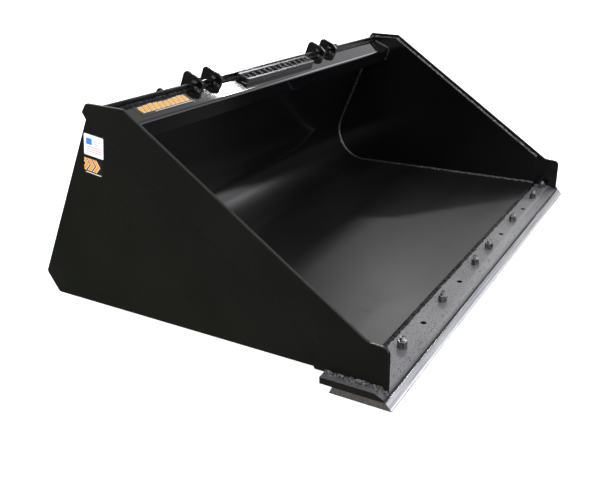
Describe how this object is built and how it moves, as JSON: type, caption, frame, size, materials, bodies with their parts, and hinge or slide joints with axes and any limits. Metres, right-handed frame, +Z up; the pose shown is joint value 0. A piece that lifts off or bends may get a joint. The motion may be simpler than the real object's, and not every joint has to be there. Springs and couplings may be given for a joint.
{
  "type": "skid steer loader bucket",
  "caption": "Low-profile skid steer loader bucket: welded black steel shell with side cutters, a box top lip, a step tread, hook-and-wedge mounting plates and a bolt-on cutting edge",
  "frame": {"origin": "centre of the bounding box across and front to back, at the ground it rests on", "axes": "+X across the bucket toward the operator's left, +Y back toward the loader, +Z up; the bucket rests on its cutting edge and heels"},
  "size_m": [1.8288, 1.2096, 0.6323],
  "materials": {
    "powder_coat_black": "gloss black powder coat over rolled steel, with fine peel and scuffed edges",
    "bare_steel_edge": "mill-rolled bare cutting steel, brushed lengthwise, with light rust at the tip",
    "dark_hardware": "dark oxide hardened bolts and nuts, satin",
    "label_film": null
  },
  "bodies": {
    "root": {"base_edge": "powder_coat_black", "bolt_on_edge": "bare_steel_edge", "bucket_shell": "powder_coat_black", "hex_nut_1": "dark_hardware", "hex_nut_2": "dark_hardware", "hex_nut_3": "dark_hardware", "hex_nut_4": "dark_hardware", "hex_nut_5": "dark_hardware", "hex_nut_6": "dark_hardware", "hex_nut_7": "dark_hardware", "hex_nut_8": "dark_hardware", "lip_label": "label_film", "mount_plate_left": "powder_coat_black", "mount_plate_right": "powder_coat_black", "mount_rib_inner_left": "powder_coat_black", "mount_rib_inner_right": "powder_coat_black", "mount_rib_middle_left": "powder_coat_black", "mount_rib_middle_right": "powder_coat_black", "mount_rib_outer_left": "powder_coat_black", "mount_rib_outer_right": "powder_coat_black", "plow_bolt_1": "dark_hardware", "plow_bolt_2": "dark_hardware", "plow_bolt_3": "dark_hardware", "plow_bolt_4": "dark_hardware", "plow_bolt_5": "dark_hardware", "plow_bolt_6": "dark_hardware", "plow_bolt_7": "dark_hardware", "plow_bolt_8": "dark_hardware", "side_cutter_left": "powder_coat_black", "side_cutter_right": "powder_coat_black", "side_label_lower": "label_film", "side_label_upper": "label_film", "side_sheet_left": "powder_coat_black", "side_sheet_right": "powder_coat_black", "step_tread": "powder_coat_black", "top_lip_tube": "powder_coat_black"}
  },
  "joints": []
}
